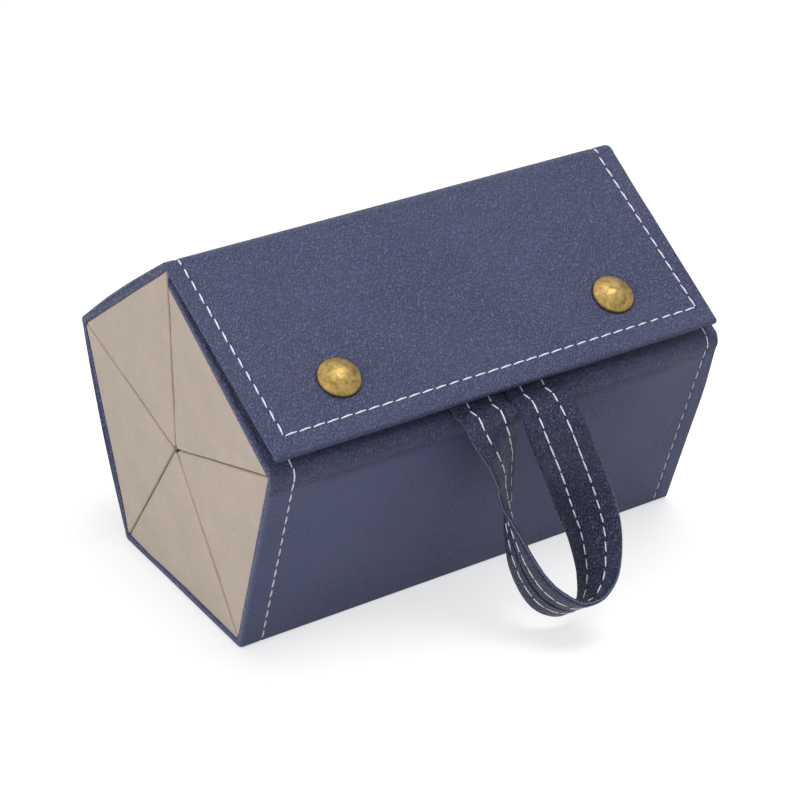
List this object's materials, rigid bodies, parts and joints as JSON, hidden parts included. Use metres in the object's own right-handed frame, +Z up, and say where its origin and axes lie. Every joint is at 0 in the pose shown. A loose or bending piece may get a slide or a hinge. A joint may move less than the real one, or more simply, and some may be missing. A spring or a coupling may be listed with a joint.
{
  "type": "leather jewellery case",
  "caption": "Pentagonal roll-up leather jewellery case with triangular fabric trays, a buttoned flap, rear panels that hinge open and a carrying loop.",
  "frame": {"origin": "on the table under the middle of the case, at mid length and mid width of the bottom side", "axes": "+X along the case to its right end, +Y to its back, +Z up"},
  "size_m": [0.17, 0.1639, 0.1194],
  "materials": {
    "cover_leather": "pebbled grain, semi-matt navy",
    "fold_leather": "creased navy leather",
    "strap_leather": "soft grained navy leather with cut edges",
    "flap_lining": "smooth navy lining",
    "board": "grey-brown bookbinding board",
    "microfibre": "matt beige microfibre",
    "antique_brass": "antique brass, darkened in patches",
    "button_steel": "plated steel"
  },
  "bodies": {
    "case_base": {"front_cover_leather": "cover_leather", "lower_rear_fold": "fold_leather", "bottom_board": "board", "front_wall_board": "board", "front_roof_board": "board", "roof_studs": "button_steel", "strap_ends": "strap_leather", "strap_folds": "strap_leather", "bottom_tray_pad": "microfibre", "bottom_tray_wall": "microfibre", "bottom_tray_lid": "microfibre", "bottom_tray_left_end": "microfibre", "bottom_tray_right_end": "microfibre", "front_wall_tray_pad": "microfibre", "front_wall_tray_wall": "microfibre", "front_wall_tray_lid": "microfibre", "front_wall_tray_left_end": "microfibre", "front_wall_tray_right_end": "microfibre", "front_roof_tray_pad": "microfibre", "front_roof_tray_wall": "microfibre", "front_roof_tray_lid": "microfibre", "front_roof_tray_left_end": "microfibre", "front_roof_tray_right_end": "microfibre"},
    "rear_wall": {"rear_wall_leather": "cover_leather", "rear_wall_board": "board", "upper_rear_fold": "fold_leather", "rear_wall_tray_pad": "microfibre", "rear_wall_tray_wall": "microfibre", "rear_wall_tray_left_end": "microfibre", "rear_wall_tray_right_end": "microfibre"},
    "rear_wall_lid": {"rear_wall_tray_lid": "microfibre"},
    "rear_roof": {"rear_roof_leather": "cover_leather", "rear_roof_board": "board", "rear_roof_tray_pad": "microfibre", "rear_roof_tray_wall": "microfibre", "rear_roof_tray_left_end": "microfibre", "rear_roof_tray_right_end": "microfibre"},
    "rear_roof_lid": {"rear_roof_tray_lid": "microfibre"},
    "ridge": {"ridge_strip": "fold_leather"},
    "flap": {"flap_leather": "cover_leather", "flap_board": "board", "flap_lining": "flap_lining", "button_caps": "antique_brass", "flap_magnets": "button_steel"},
    "strap": {"strap_loop": "strap_leather"}
  },
  "joints": [
    {"name": "rear_wall_hinge", "type": "hinge", "parent": "case_base", "child": "rear_wall", "pos_m": [0, 0.03852, 0.001], "axis": [-1, 0, 0], "range_deg": [0, 36]},
    {"name": "rear_roof_hinge", "type": "hinge", "parent": "rear_wall", "child": "rear_roof", "pos_m": [0, 0.06233, 0.07428], "axis": [-1, 0, 0], "range_deg": [0, 72]},
    {"name": "rear_wall_lid_hinge", "type": "hinge", "parent": "rear_wall", "child": "rear_wall_lid", "pos_m": [0, 0.03666, 0.00595], "axis": [1, 0, 0], "range_deg": [0, 32.4]},
    {"name": "rear_roof_lid_hinge", "type": "hinge", "parent": "rear_roof", "child": "rear_roof_lid", "pos_m": [0, 0.05705, 0.07403], "axis": [1, 0, 0], "range_deg": [0, 64.8]},
    {"name": "ridge_hinge", "type": "hinge", "parent": "rear_roof", "child": "ridge", "pos_m": [0, 0.00214, 0.11925], "axis": [-1, 0, 0], "range_deg": [0, 117.5]},
    {"name": "flap_hinge", "type": "hinge", "parent": "ridge", "child": "flap", "pos_m": [0, -0.00226, 0.11943], "axis": [-1, 0, 0], "range_deg": [0, 117.5]},
    {"name": "strap_swing", "type": "hinge", "parent": "case_base", "child": "strap", "pos_m": [0, -0.06751, 0.07578], "axis": [-1, 0, 0], "range_deg": [0, 105]}
  ],
  "couplings": [
    {"joint": "rear_wall_hinge", "follows": "rear_roof_hinge", "ratio": 0.5},
    {"joint": "rear_wall_lid_hinge", "follows": "rear_roof_hinge", "ratio": 0.45},
    {"joint": "rear_roof_lid_hinge", "follows": "rear_roof_hinge", "ratio": 0.9},
    {"joint": "ridge_hinge", "follows": "flap_hinge", "ratio": 1}
  ]
}
